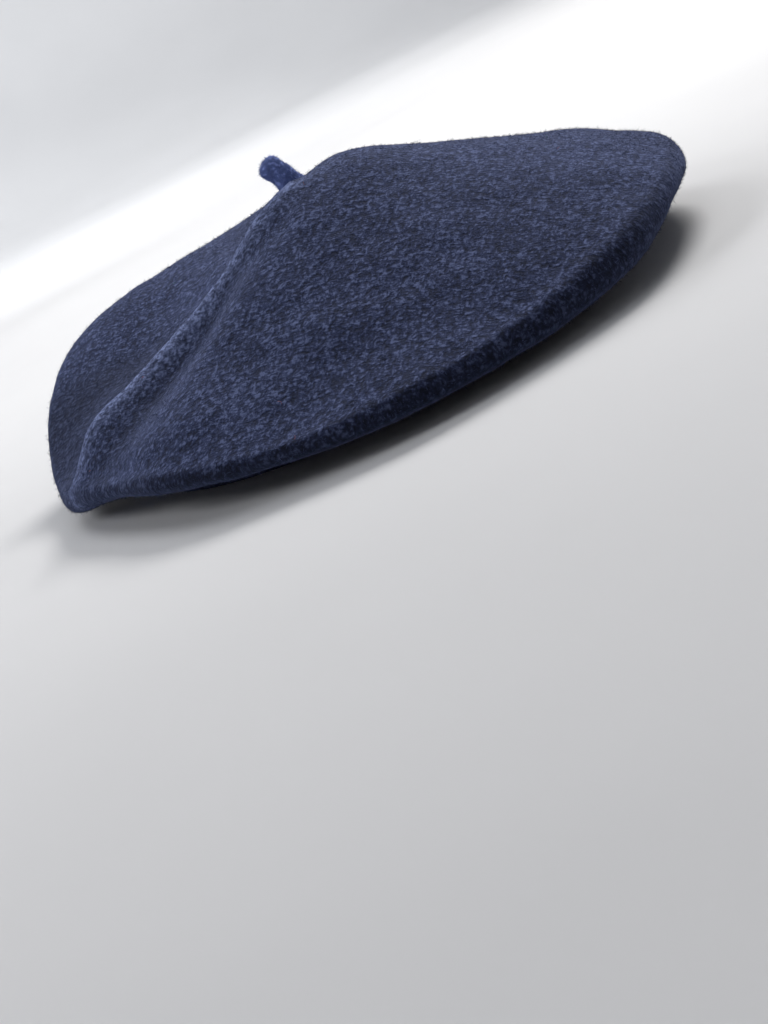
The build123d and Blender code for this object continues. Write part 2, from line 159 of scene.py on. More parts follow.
def outer(az, t, folds=True):
    """Outer face of the felt, (len(t), len(az), 3), in X, Y, Z millimetres."""
    az = np.asarray(az, float)
    t = np.asarray(t, float)
    P = periodic_matrix(AZ, az)
    v = {k: P @ np.array(x, float) for k, x in TAB.items()}
    R, zt, zb = v["R"], v["zt"], v["zb"]
    one = np.ones(len(az))
    roll = np.clip((zt - zb) / 19.0, 0.5, 1.15)        # a thin rim folds tighter
    low = R - 10 * roll
    rho = np.array([0 * one, 20 * one, 42 * one, 66 * one, 90 * one, 110 * one, R - 9 * roll, R - 2.8 * roll, R,
                    R - 2.9 * roll, low,
                    0.42 * low + 0.58 * 97.0, (BAND_R + 3.2) * one, (BAND_R + 0.5) * one, BAND_R * one])
    z = np.array([CROWN_Z * one, v["z20"], v["z42"], v["z66"], v["z90"], v["z110"], zt - 0.6,
                  zb + 0.82 * (zt - zb) - 0.4, zb + 0.47 * (zt - zb) - 0.3, zb + 0.13 * (zt - zb), zb,
                  0.42 * zb + 0.58 * 9.5, 9.6 * one, 6.0 * one, 0 * one])
    B = spline_matrix(T, t)
    rr = B @ rho
    zz = B @ z
    A, TT = np.meshgrid(az, t)
    a = np.radians(A)
    g = np.exp(-(TT / 45.0) ** 2)                       # the crown's centre sits a little off the opening's axis
    u, w = rr * np.cos(a) + CENTRE_U * g, rr * np.sin(a) + CENTRE_W * g
    if folds:
        zz = zz + fold(u, w, TT)
    s, c = math.sin(PSI), math.cos(PSI)
    return np.stack([u * s - w * c, -u * c - w * s, zz], -1)


def normals(az, t):
    """Outward unit normals of the felt without its folds."""
    e = 0.25
    t = np.asarray(t, float)
    az = np.asarray(az, float)
    lo, hi = np.maximum(t - e, 0.5), np.minimum(t + e, T_END)
    dt = outer(az, hi, False) - outer(az, lo, False)
    da = outer(az + 0.4, t, False) - outer(az - 0.4, t, False)
    n = np.cross(da, dt)
    n /= np.linalg.norm(n, axis=2, keepdims=True)
    if n[0, :, 2].mean() < 0:
        n = -n
    return n


def layer(az, t, depth):
    """Points at a depth below the felt's outer face."""
    return outer(az, t) - depth * normals(az, t)


# ------------------------------------------------------------------ noise, in numpy so that it is the same each run
def _hash(ix, iy, iz, seed):
    h = (ix.astype(np.int64) * 374761393 + iy.astype(np.int64) * 668265263 + iz.astype(np.int64) * 2147483647 + seed * 1274126177) & 0xFFFFFFFF
    h = ((h ^ (h >> 13)) * 1274126177) & 0xFFFFFFFF
    h = (h ^ (h >> 16)) & 0xFFFFFFFF
    return h.astype(np.float64) / 0xFFFFFFFF * 2 - 1


def noise3(p, size, seed=0):
    """Smooth noise from -1 to 1, with features of the given size."""
    q = np.asarray(p, float) / size
    i = np.floor(q).astype(np.int64)
    f = q - i
    w = f * f * f * (f * (f * 6 - 15) + 10)
    out = 0
    for dx in (0, 1):
        for dy in (0, 1):
            for dz in (0, 1):
                v = _hash(i[..., 0] + dx, i[..., 1] + dy, i[..., 2] + dz, seed)
                out = out + v * np.where(dx, w[..., 0], 1 - w[..., 0]) * np.where(dy, w[..., 1], 1 - w[..., 1]) * np.where(dz, w[..., 2], 1 - w[..., 2])
    return out


# ------------------------------------------------------------------ mesh helpers
def mesh_object(name, verts, faces, mat, smooth=True):
    me = bpy.data.meshes.new(name)
    me.from_pydata(np.asarray(verts).tolist(), [], faces if isinstance(faces, list) else faces.tolist())
    me.validate()
    me.update()
    ob = bpy.data.objects.new(name, me)
    bpy.context.scene.collection.objects.link(ob)
    if mat:
        me.materials.append(mat)
    if smooth:
        me.polygons.foreach_set("use_smooth", np.ones(len(me.polygons), dtype=bool))
    return ob


def grid_faces(nt, na, offset=0, flip=False, wrap=True):
    i, j = np.meshgrid(np.arange(nt - 1), np.arange(na if wrap else na - 1), indexing="ij")
    k = (j + 1) % na
    f = np.stack([i * na + j, i * na + k, (i + 1) * na + k, (i + 1) * na + j], -1).reshape(-1, 4) + offset
    return f[:, ::-1] if flip else f


def thin_rings(name, top, under, mat, flip=False):
    """Closed thin body between two stacks of rings, each (n, na, 3) in millimetres."""
    na = top.shape[1]
    a, b = len(top), len(under)
    v = np.concatenate([top.reshape(-1, 3), under.reshape(-1, 3)]) * MM
    o = a * na
    j = np.arange(na)
    k = (j + 1) % na
    f = [grid_faces(a, na, 0, flip), grid_faces(b, na, o, not flip)]
    e0 = np.stack([j, o + j, o + k, k], -1)
    e1 = np.stack([(a - 1) * na + j, (a - 1) * na + k, o + (b - 1) * na + k, o + (b - 1) * na + j], -1)
    f += [e0[:, ::-1] if flip else e0, e1[:, ::-1] if flip else e1]
    ob = mesh_object(name, v, np.concatenate(f), mat)
    return ob


def uw(u, w, z=0.0):
    s, c = math.sin(PSI), math.cos(PSI)
    return Vector((u * s - w * c, -u * c - w * s, z))


def around(az_deg):
    a = math.radians(az_deg)
    return uw(math.cos(a), math.sin(a))


# ------------------------------------------------------------------ node helpers
class Nodes:
    def __init__(self, name):
        self.mat = bpy.data.materials.new(name)
        self.mat.use_nodes = True
        self.t = self.mat.node_tree
        self.t.nodes.clear()
        self.out = self.t.nodes.new("ShaderNodeOutputMaterial")
        self.bsdf = self.t.nodes.new("ShaderNodeBsdfPrincipled")
        self.t.links.new(self.bsdf.outputs[0], self.out.inputs[0])
        self.co = self.t.nodes.new("ShaderNodeTexCoord").outputs["Object"]

    def put(self, socket, value):
        s = self.bsdf.inputs[socket]
        if hasattr(value, "links") or hasattr(value, "is_output"):
            self.t.links.new(value, s)
        else:
            s.default_value = value

    def link(self, a, b):
        self.t.links.new(a, b)

    def mapping(self, scale=(1, 1, 1), rot=(0, 0, 0), co=None):
        n = self.t.nodes.new("ShaderNodeMapping")
        n.inputs["Scale"].default_value = scale
        n.inputs["Rotation"].default_value = rot
        self.link(co or self.co, n.inputs["Vector"])
        return n.outputs[0]

    def noise(self, scale, detail=2.0, rough=0.5, co=None, distortion=0.0, colour=False):
        n = self.t.nodes.new("ShaderNodeTexNoise")
        n.inputs["Scale"].default_value = scale
        n.inputs["Detail"].default_value = detail
        n.inputs["Roughness"].default_value = rough
        n.inputs["Distortion"].default_value = distortion
        self.link(co or self.co, n.inputs["Vector"])
        return n.outputs["Color" if colour else "Fac"]

    def voronoi(self, scale, feature="F1", co=None, out="Distance", rand=1.0):
        n = self.t.nodes.new("ShaderNodeTexVoronoi")
        n.feature = feature
        n.inputs["Scale"].default_value = scale
        n.inputs["Randomness"].default_value = rand
        self.link(co or self.co, n.inputs["Vector"])
        return n.outputs[out]

    def ramp(self, fac, stops, interp="LINEAR"):
        n = self.t.nodes.new("ShaderNodeValToRGB")
        n.color_ramp.interpolation = interp
        el = n.color_ramp.elements
        while len(el) < len(stops):
            el.new(0.5)
        for e, (p, c) in zip(el, stops):
            e.position = p
            e.color = (*c, 1) if len(c) == 3 else c
        self.link(fac, n.inputs[0])
        return n.outputs[0]

    def math(self, op, a, b=None, c=None, clamp=False):
        n = self.t.nodes.new("ShaderNodeMath")
        n.operation = op
        n.use_clamp = clamp
        for i, x in enumerate((a, b, c)):
            if x is None:
                continue
            if isinstance(x, (int, float)):
                n.inputs[i].default_value = x
            else:
                self.link(x, n.inputs[i])
        return n.outputs[0]

    def mix(self, fac, a, b, mode="MIX"):
        n = self.t.nodes.new("ShaderNodeMix")
        n.data_type = "RGBA"
        n.blend_type = mode
        for i, x in ((0, fac), (6, a), (7, b)):
            if isinstance(x, (int, float)):
                n.inputs[i].default_value = x
            elif isinstance(x, tuple):
                n.inputs[i].default_value = (*x, 1) if len(x) == 3 else x
            else:
                self.link(x, n.inputs[i])
        return n.outputs[2]

    def remap(self, fac, lo, hi, to_lo=0.0, to_hi=1.0):
        n = self.t.nodes.new("ShaderNodeMapRange")
        n.inputs[1].default_value, n.inputs[2].default_value = lo, hi
        n.inputs[3].default_value, n.inputs[4].default_value = to_lo, to_hi
        self.link(fac, n.inputs[0])
        return n.outputs[0]

    def bump(self, height, strength, distance, normal=None):
        n = self.t.nodes.new("ShaderNodeBump")
        n.inputs["Strength"].default_value = strength
        n.inputs["Distance"].default_value = distance
        self.link(height, n.inputs["Height"])
        if normal is not None:
            self.link(normal, n.inputs["Normal"])
        return n.outputs[0]


# ------------------------------------------------------------------ materials
def felt_material(name="navy_felt", lift=1.0, nap=False):
    m = Nodes(name)
    # wool fibres lie in every direction: three stretched noises, turned, are laid over each other
    warp = m.noise(160, 2, 0.5, colour=True)
    co = m.mix(0.0022, m.co, warp, "ADD")
    streaks = []
    for k, (rot, sc) in enumerate((((0.3, 0.2, 0.5), (1100, 330, 700)), ((1.3, 0.8, 2.0), (330, 1000, 800)), ((2.2, 1.9, 1.1), (900, 900, 300)))):
        streaks.append(m.noise(1.0, 1.5, 0.55, m.mapping(sc, rot, co)))
    fibre = m.math("MAXIMUM", m.math("MAXIMUM", streaks[0], streaks[1]), streaks[2])
    pit = m.math("MINIMUM", m.math("MINIMUM", streaks[0], streaks[1]), streaks[2])
    grain = m.math("ADD", m.math("MULTIPLY", fibre, 0.62), m.math("MULTIPLY", pit, 0.62))
    clump = m.noise(430, 3.0, 0.6, co)
    tone = m.math("ADD", m.math("MULTIPLY", m.math("SUBTRACT", grain, 0.62), 2.7), m.math("MULTIPLY", m.math("SUBTRACT", clump, 0.5), 2.1))
    broad = m.noise(26, 3.0, 0.55)
    tone = m.math("ADD", tone, m.math("MULTIPLY", m.math("SUBTRACT", broad, 0.5), 0.42))
    tone = m.math("ADD", tone, 0.5, clamp=True)
    c = lambda r, g, b: (r * lift, g * lift, b * lift)
    col = m.ramp(tone, [(0.06, c(0.0034, 0.0052, 0.0155)), (0.40, c(0.0125, 0.0182, 0.051)), (0.62, c(0.026, 0.036, 0.092)), (0.97, c(0.098, 0.124, 0.245))])
    if name == "navy_felt":                              # painted highlight along the ridge of the main fold, and painted shade in its hollows, the slack panel, the lobe at its end and the rim
        marks = []
        for attribute in ("crest_painted_highlight", "shade"):
            at = m.t.nodes.new("ShaderNodeAttribute")
            at.attribute_name = attribute
            marks.append(at.outputs["Fac"])
        # painted shade: the shade mask darkens the felt in the hollows, the slack panel, the lobe and the rim
        col = m.mix(m.math("MULTIPLY", marks[1], 0.86), col, m.mix(0.22, (0.003, 0.0042, 0.011), col))
        patchy = m.math("ADD", 0.5, m.math("MULTIPLY", tone, 1.0))
        # painted highlight: this mask lightens the felt along the ridge of the main fold, where it catches the light
        col = m.mix(m.math("MULTIPLY", m.math("MULTIPLY", marks[0], patchy), 0.62, clamp=True), col, m.mix(tone, c(0.10, 0.125, 0.25), c(0.27, 0.33, 0.58)))
    # painted light: the stalk's felt is a lighter copy of the crown's felt, standing in for the light on its front; its
    # speckle is evened out too
    if name == "navy_felt_stalk_painted_light":
        col = m.mix(0.6, col, c(0.030, 0.041, 0.095))
    if nap:
        col = m.mix(0.65, col, c(0.036, 0.046, 0.092))
    m.put("Base Color", col)
    m.put("Roughness", 0.92)
    m.put("Specular IOR Level", 0.18)
    m.put("Sheen Weight", 0.26 if not nap else 0.15)
    m.put("Sheen Roughness", 0.45)
    m.put("Sheen Tint", (0.36, 0.47, 0.98, 1))
    if not nap:
        h = m.math("ADD", m.math("MULTIPLY", grain, 0.7), m.math("MULTIPLY", clump, 0.6))
        m.put("Normal", m.bump(h, 0.85 if name == "navy_felt" else 0.5, 0.0009))
    return m.mat


def leather_material():
    m = Nodes("band_leather_look")
    pores = m.voronoi(900, "F1")
    cells = m.voronoi(420, "DISTANCE_TO_EDGE", rand=0.9)
    crease = m.noise(55, 4, 0.6, m.mapping((1, 1, 4)))
    tone = m.math("ADD", m.math("MULTIPLY", m.noise(38, 4, 0.6), 0.7), m.math("MULTIPLY", crease, 0.3))
    col = m.ramp(tone, [(0.25, (0.030, 0.016, 0.010)), (0.55, (0.060, 0.034, 0.021)), (0.85, (0.105, 0.064, 0.042))])
    worn = m.remap(cells, 0.0, 0.12, 0.0, 1.0)
    col = m.mix(m.math("MULTIPLY", m.math("SUBTRACT", 1.0, worn), 0.35), col, (0.018, 0.010, 0.007))
    m.put("Base Color", col)
    m.put("Roughness", m.remap(tone, 0.2, 0.9, 0.52, 0.36))
    m.put("Coat Weight", 0.12)
    m.put("Coat Roughness", 0.35)
    h = m.math("ADD", m.math("MULTIPLY", m.remap(cells, 0.0, 0.25), 0.6), m.math("ADD", m.math("MULTIPLY", pores, 0.25), m.math("MULTIPLY", crease, 0.8)))
    m.put("Normal", m.bump(h, 0.5, 0.0004))
    return m.mat


def satin_material():
    m = Nodes("lining_satin_look")
    fine = m.noise(1.0, 1, 0.5, m.mapping((2600, 500, 2600), (0, 0, 0.6)))
    cross = m.noise(1.0, 1, 0.5, m.mapping((500, 2600, 2600), (0, 0, 0.6)))
    slub = m.noise(60, 3, 0.5, m.mapping((1, 8, 1), (0, 0, 0.6)))
    col = m.ramp(m.math("ADD", m.math("MULTIPLY", slub, 0.6), m.math("MULTIPLY", fine, 0.4)), [(0.3, (0.010, 0.013, 0.030)), (0.7, (0.026, 0.032, 0.068))])
    m.put("Base Color", col)
    m.put("Roughness", m.remap(slub, 0.3, 0.7, 0.30, 0.42))
    m.put("Sheen Weight", 0.2)
    m.put("Anisotropic", 0.4)
    m.put("Normal", m.bump(m.math("ADD", fine, m.math("MULTIPLY", cross, 0.6)), 0.18, 0.0002))
    return m.mat


def thread_material(name, dark, light):
    m = Nodes(name)
    twist = m.noise(1.0, 1, 0.5, m.mapping((3000, 3000, 1500), (0.7, 0.3, 0.4)))
    m.put("Base Color", m.ramp(twist, [(0.35, dark), (0.65, light)]))
    m.put("Roughness", 0.7)
    m.put("Sheen Weight", 0.3)
    m.put("Normal", m.bump(twist, 0.5, 0.0002))
    return m.mat


def weave_material(name, dark, light, rot=0.0, scale=900, border=None):
    m = Nodes(name)
    sep = m.t.nodes.new("ShaderNodeSeparateXYZ")
    m.link(m.mapping((scale * 2 * math.pi,) * 3, (0, 0, rot)), sep.inputs[0])
    a = m.math("SINE", sep.outputs[0])
    b = m.math("SINE", m.math("ADD", sep.outputs[1], sep.outputs[2]))
    chk = m.math("MULTIPLY", a, b)
    var = m.noise(300, 3, 0.6)
    tone = m.math("ADD", m.math("MULTIPLY", chk, 0.16), var)
    m.put("Base Color", m.ramp(tone, [(0.25, dark), (0.75, light)]))
    m.put("Roughness", 0.75)
    m.put("Sheen Weight", 0.25)
    m.put("Normal", m.bump(chk, 0.5, 0.00025))
    return m.mat


felt_mat = felt_material()
nap_mat = felt_material("navy_felt_nap", 1.25, True)
leather_mat = leather_material()
satin_mat = satin_material()
thread_mat = thread_material("sewing_thread_tan", (0.16, 0.12, 0.08), (0.34, 0.27, 0.19))
thread_navy = thread_material("sewing_thread_navy", (0.012, 0.015, 0.03), (0.04, 0.05, 0.09))
ribbon_mat = weave_material("ribbon_grosgrain", (0.010, 0.012, 0.028), (0.030, 0.036, 0.075), 0.2, 420)
label_mat = weave_material("label_weave_look", (0.46, 0.42, 0.33), (0.74, 0.70, 0.60), 0.0, 620)
care_mat = weave_material("care_tape_look", (0.60, 0.60, 0.57), (0.82, 0.82, 0.80), 0.4, 800)
nap_light = felt_material("navy_felt_nap_light", 2.0, True)
# painted light: the stalk's nap is a lighter copy of the felt, standing in for the light on the stalk's front
stalk_nap_painted_light = felt_material("navy_felt_nap_stalk_painted_light", 4.6, True)
nap_dark = felt_material("navy_felt_nap_dark", 0.55, True)
# painted light: the stalk's felt is a lighter copy of the felt, standing in for the light on its front
stalk_felt_painted_light = felt_material("navy_felt_stalk_painted_light", 4.6)
fleck_red = thread_material("red_fleck", (0.16, 0.02, 0.03), (0.34, 0.06, 0.07))
fleck_teal = thread_material("teal_fleck", (0.01, 0.10, 0.14), (0.03, 0.24, 0.30))


# ------------------------------------------------------------------ helpers for bodies
def outward(ob):
    """Faces of a closed body turned outwards."""
    import bmesh
    bm = bmesh.new()
    bm.from_mesh(ob.data)
    if bm.calc_volume(signed=True) < 0:
        bmesh.ops.reverse_faces(bm, faces=bm.faces)
        bm.to_mesh(ob.data)
    bm.free()
    ob.data.update()
    return ob


def unit(v):
    return v / np.maximum(np.linalg.norm(v, axis=-1, keepdims=True), 1e-9)


def arr(v):
    return np.array(tuple(v), float)


def tube(path, side, up, half_w, half_h, n=10, power=2.0):
    """Closed body along a path: superellipse sections, (m,) half sizes, with pole points at the ends."""
    m = len(path)
    a = np.arange(n) * 2 * math.pi / n
    ca, sa = np.cos(a), np.sin(a)
    ca, sa = np.sign(ca) * np.abs(ca) ** (2 / power), np.sign(sa) * np.abs(sa) ** (2 / power)
    v = path[:, None] + side[:, None] * (half_w[:, None] * ca[None])[..., None] + up[:, None] * (half_h[:, None] * sa[None])[..., None]
    v = np.concatenate([v.reshape(-1, 3), path[:1], path[-1:]])
    f = grid_faces(m, n).tolist()
    for j in range(n):
        k = (j + 1) % n
        f.append([m * n, k, j])
        f.append([m * n + 1, (m - 1) * n + j, (m - 1) * n + k])
    return v, f


def join(parts):
    v, f, o = [], [], 0
    for a, b in parts:
        v.append(a)
        f += [[i + o for i in q] for q in b]
        o += len(a)
    return np.concatenate(v), f


def stitches(name, marks, mat, twist=5.0):
    """Short lengths of two-ply thread, each (origin, along, out of the surface, length, width, height) in millimetres. Their ends dive into the material."""
    parts = []
    for i, (o, x, z, length, w, h) in enumerate(marks):
        o, x, z = arr(o), unit(arr(x)), unit(arr(z))
        z = unit(z - x * (z @ x))
        y = np.cross(z, x)
        m, n = 13, 8
        s = np.linspace(-1, 1, m)
        rise = h * (0.30 - 0.55 * np.abs(s) ** 3.0)
        path = o + x * (s * length / 2)[:, None] + z * rise[:, None] + y * (0.03 * length * math.sin(i * 2.4) * (1 - s ** 2))[:, None]
        taper = np.sqrt(np.clip(1 - np.abs(s) ** 5, 0.12, 1))
        a = np.arange(n) * 2 * math.pi / n
        lobes = 1 + 0.15 * np.cos(2 * a[None] - twist * s[:, None] * length / 2)
        v = path[:, None] + y * (w / 2 * taper[:, None] * lobes * np.cos(a))[..., None] + z * (h / 2 * taper[:, None] * lobes * np.sin(a))[..., None]
        v = np.concatenate([v.reshape(-1, 3), path[:1] - x * 0.05, path[-1:] + x * 0.05])
        f = grid_faces(m, n).tolist()
        for j in range(n):
            k = (j + 1) % n
            f.append([m * n, k, j])
            f.append([m * n + 1, (m - 1) * n + j, (m - 1) * n + k])
        parts.append((v * MM, f))
    v, f = join(parts)
    return outward(mesh_object(name, v, f, mat))


SQ = 1 - TRAVEL / 71.75            # what is left of the felt's height when the crown is pressed flat
SQ_L = 1 - TRAVEL / 64.0           # and of the lining's


def soft(ob, slot, *nodes, keep=SQ):
    """A cloth piece: rides on the headband."""
    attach(ob, "headband")
    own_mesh(ob)
    if nodes:
        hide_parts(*nodes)
    return ob


def on(ob, body, slot, *nodes):
    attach(ob, body)
    if nodes:
        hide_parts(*nodes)
    return ob


# ------------------------------------------------------------------ felt body
NA = 480
N1, N2, N3 = ((78, 44, 20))
az = np.arange(NA) * 360.0 / NA
tt = np.concatenate([np.linspace(2.6, 126, N1, endpoint=False), np.linspace(126, 172, N2, endpoint=False), np.linspace(172, T_END, N3)])


def felt_relief(p, t):
    """Small unevenness of the felt, in millimetres along the normal."""
    edge = np.clip((T_END - t) / 8.0, 0, 1)[:, None]
    return edge * (0.55 * noise3(p, 30.0, 1) + 0.30 * noise3(p, 13.0, 2) + 0.13 * noise3(p, 5.6, 3) + 0.07 * noise3(p, 2.6, 4))


top = outer(az, tt)
nrm = normals(az, tt)
top = top + felt_relief(top, tt)[..., None] * nrm
top[-1, :, 2] = 0.0
ti = np.concatenate([np.linspace(2.6, 126, 20, endpoint=False), np.linspace(126, 170, 22, endpoint=False), np.linspace(170, T_END, 8)])
n_i = normals(az, ti)
under = outer(az, ti)
thick = FELT_T - (FELT_T - RIM_T) * np.exp(-((ti - T_RIM) / 9.0) ** 2)
under = under - (thick[:, None] + 0.10 * (noise3(under, 7.0, 8) + 1) * np.clip((T_END - ti) / 8, 0, 1)[:, None])[..., None] * n_i
under[-1, :, 2] = 0.0
felt = outward(thin_rings("felt_body", top, under, felt_mat))


def fold_line(p, a0, w0):
    """Distance across and along a fold that starts at the crown's centre, in plan."""
    u, w = p[..., 0] * math.sin(PSI) - p[..., 1] * math.cos(PSI), -p[..., 0] * math.cos(PSI) - p[..., 1] * math.sin(PSI)
    a = math.radians(a0)
    return (w - w0) * math.cos(a) - u * math.sin(a), u * math.cos(a) + (w - w0) * math.sin(a)


# painted highlight mask along the ridge of the main fold
x, s = fold_line(top, 166.6, 2.5)
crest_painted_highlight = np.exp(-(x / np.where(x > 0, 4.6, 7.0)) ** 2) * 0.25 * (1 + np.tanh((s + 4) / 8)) * (1 - np.tanh((s - 124) / 8))
# painted shade masks: the slack panel, the hollow before the ridge, the lobe at the fold's end, then the rim's face and
# underside; none where the highlight lies
x, s = fold_line(top, 196.0, 0.0)
shade = 0.92 * np.exp(-(x / 24.0) ** 4) * 0.5 * (1 + np.tanh((s - 26) / 12))
x, s = fold_line(top, 153.5, 2.0)
shade = shade + 0.50 * np.exp(-(x / 11.0) ** 2) * 0.5 * (1 + np.tanh((s - 28) / 12))
x, s = fold_line(top, 179.0, 0.0)
shade = shade + 0.75 * np.exp(-(x / 17.0) ** 4) * 0.5 * (1 + np.tanh((s - 112) / 6))
shade = np.maximum(shade, 0.5 * (1 + np.tanh((tt - 143.0) / 3.5))[:, None]) * (1 - crest_painted_highlight)
# the painted highlight and painted shade masks go to the felt as point attributes; the underside gets none
rest = np.zeros(under.shape[0] * NA)
for label, value in (("crest_painted_highlight", crest_painted_highlight), ("shade", np.clip(shade, 0, 1))):
    at = felt.data.attributes.new(label, "FLOAT", "POINT")
    at.data.foreach_set("value", np.concatenate([value.ravel(), rest]).astype(np.float32))

soft(felt, "wool_felt", "felt_shell")

# true normals of the worked surface, for the nap
dt = np.gradient(top, axis=0)
da = np.roll(top, -1, 1) - np.roll(top, 1, 1)
gn = unit(np.cross(da, dt))
gn *= np.sign((gn * nrm).sum(-1, keepdims=True) + 1e-12)


# ------------------------------------------------------------------ nap: short wool fibres that stand off the felt
def fibres(name, roots, normal, rng, length, radius, lift, mat, sink=0.15):
    """One closed tapered fibre with a bend at each root. Millimetres."""
    n = len(roots)
    t1 = unit(np.cross(normal, unit(rng.normal(size=(n, 3)))))
    L = length[0] + (length[1] - length[0]) * rng.random(n) ** 1.6
    e = np.radians(lift[0] + (lift[1] - lift[0]) * rng.random(n) ** 1.5)
    d1 = t1 * np.cos(e)[:, None] + normal * np.sin(e)[:, None]
    d2 = unit(d1 + 0.7 * unit(rng.normal(size=(n, 3))) + 0.1 * normal)
    r = radius[0] + (radius[1] - radius[0]) * rng.random(n)
    p0 = roots - normal * sink
    p1 = p0 + d1 * (L * 0.5)[:, None]
    p2 = p1 + d2 * (L * 0.5)[:, None]
    s = unit(np.cross(d1, normal))
    u = np.cross(s, d1)
    rows = []
    for p, k in ((p0, 1.0), (p1, 0.8)):
        for j in range(3):
            q = j * 2 * math.pi / 3
            rows.append(p + (s * math.cos(q) + u * math.sin(q)) * (r * k)[:, None])
    rows.append(p2)
    v = np.stack(rows, 1).reshape(-1, 3) * MM
    f = np.array([(0, 2, 1), (0, 1, 4), (0, 4, 3), (1, 2, 5), (1, 5, 4), (2, 0, 3), (2, 3, 5), (3, 4, 6), (4, 5, 6), (5, 3, 6)])
    f = (f[None] + (np.arange(n) * 7)[:, None, None]).reshape(-1, 3)
    return mesh_object(name, v, f, mat, smooth=False)


def on_grid(grid, normal, rng, n, weight=None):
    """Random places on a wrapped grid, spread by area."""
    a = grid[:-1]
    b = np.roll(grid, -1, 1)[:-1]
    c = grid[1:]
    area = np.linalg.norm(np.cross(b - a, c - a), axis=-1)
    if weight is not None:
        area = area * weight[:-1, None]
    cum = np.cumsum(area.ravel())
    k = np.searchsorted(cum, rng.random(n) * cum[-1])
    i, j = np.divmod(k, grid.shape[1])
    j2 = (j + 1) % grid.shape[1]
    s, t = rng.random(n)[:, None], rng.random(n)[:, None]
    p = (grid[i, j] * (1 - s) + grid[i, j2] * s) * (1 - t) + (grid[i + 1, j] * (1 - s) + grid[i + 1, j2] * s) * t
    m = unit((normal[i, j] * (1 - s) + normal[i, j2] * s) * (1 - t) + (normal[i + 1, j] * (1 - s) + normal[i + 1, j2] * s) * t)
    return p, m


rng = np.random.default_rng(41)
keep_off = np.clip((T_END - 4 - tt) / 6, 0.02, 1) * np.where(tt > 176, 0.5, 1.0)
NF = 19500
for k in range(4):
    p, m = on_grid(top, gn, rng, NF, keep_off)
    nap = fibres("felt_nap_%d" % (k + 1), p, m, rng, (0.8, 2.6), (0.035, 0.075), (4, 50), (nap_mat, nap_light, nap_mat, nap_dark)[k])
    soft(nap, "wool_felt")

# a few long loose hairs, and the odd coloured fibre caught in the felt
def hair(root, normal, rng, length, r=0.05, curl=1.0):
    m = 15
    d = unit(unit(rng.normal(size=3)) + 1.3 * normal)
    turn = unit(rng.normal(size=3))
    pts = [root - normal * 0.3]
    for i in range(m - 1):
        turn = unit(turn + 0.5 * unit(rng.normal(size=3)))
        d = unit(d + curl * 0.42 * np.cross(d, turn) + (0.10 * normal if i < 5 else -0.05 * normal))
        pts.append(pts[-1] + d * length / (m - 1))
    path = np.array(pts)
    tg = unit(np.gradient(path, axis=0))
    s = unit(np.cross(tg, turn))
    u = np.cross(s, tg)
    rr = np.full(m, r) * np.linspace(1.0, 0.55, m)
    v, f = tube(path, s, u, rr, rr, 4)
    return v * MM, f


parts = []
p, m = on_grid(top, gn, rng, 46, np.where(tt < 165, 1.0, 0.0))
for i in range(46):
    parts.append(hair(p[i], m[i], rng, 4.0 + 7.0 * rng.random() ** 2, 0.045, 1.2))
v, f = join(parts)
soft(outward(mesh_object("loose_hairs", v, f, nap_light)), "wool_felt")
for name, mat, n in (("red_flecks", fleck_red, 7), ("teal_flecks", fleck_teal, 6)):
    p, m = on_grid(top, gn, rng, n, np.where(tt < 150, 1.0, 0.0))
    parts = [hair(p[i], m[i] * 0.2, rng, 2.2, 0.09, 0.8) for i in range(n)]
    v, f = join(parts)
    soft(outward(mesh_object(name, v, f, mat)), "wool_felt")

# ------------------------------------------------------------------ stalk
base = outer(np.arange(0, 360, 6.0), [0.0])[0].mean(axis=0)
n_c = unit(normals(np.arange(0, 360, 6.0), [2.0])[0].mean(axis=0))
lean = math.radians(STALK_LEAN)
s_dir = unit(arr(uw(-math.sin(lean) * 0.965, -math.sin(lean) * 0.26, math.cos(lean))))
pivot = base + n_c * (STALK_R + 0.35)
tip = pivot + s_dir * (STALK_L - 0.35 - STALK_R)
NS, MS = ((72, 70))
s = np.linspace(0, 1, MS) ** 0.9
b0, b1, b2 = base - n_c * 1.3, base + n_c * 3.2, pivot + s_dir * 1.2
split = 0.42
path = np.where((s < split)[:, None],
                (1 - s / split)[:, None] ** 2 * b0 + (2 * (1 - s / split) * (s / split))[:, None] * b1 + (s / split)[:, None] ** 2 * b2,
                b2 + (tip - b2) * np.clip((s - split) / (1 - split), 0, 1)[:, None])
dist = np.concatenate([[0], np.cumsum(np.linalg.norm(np.diff(path, axis=0), axis=1))])
left = dist[-1] - dist
rad = (STALK_R - 0.05) * np.clip(1 - np.clip(1 - left / 3.6, 0, 1) ** 2.5, 0, 1) ** (1 / 2.5)
rad = rad + 3.4 * np.exp(-dist / 1.7) - 0.18 * np.sin(math.pi * np.clip(dist / dist[-1], 0, 1))
rad = np.maximum(rad, 0.05)
tg = unit(np.gradient(path, axis=0))
side = unit(np.cross(tg, arr(uw(0.26, -0.965))))
up = np.cross(side, tg)
a = np.arange(NS) * 2 * math.pi / NS
ring = side[:, None] * np.cos(a)[None, :, None] + up[:, None] * np.sin(a)[None, :, None]
sv = path[:, None] + ring * rad[:, None, None]
sv = sv + ring * ((0.22 * noise3(sv, 4.4, 21) + 0.13 * noise3(sv, 1.9, 22) + 0.06 * noise3(sv, 0.9, 23)) * np.clip(rad / 2.0, 0, 1)[:, None])[..., None]
v = np.concatenate([sv.reshape(-1, 3), path[:1], path[-1:] + tg[-1:] * 0.02]) * MM
f = grid_faces(MS, NS).tolist()
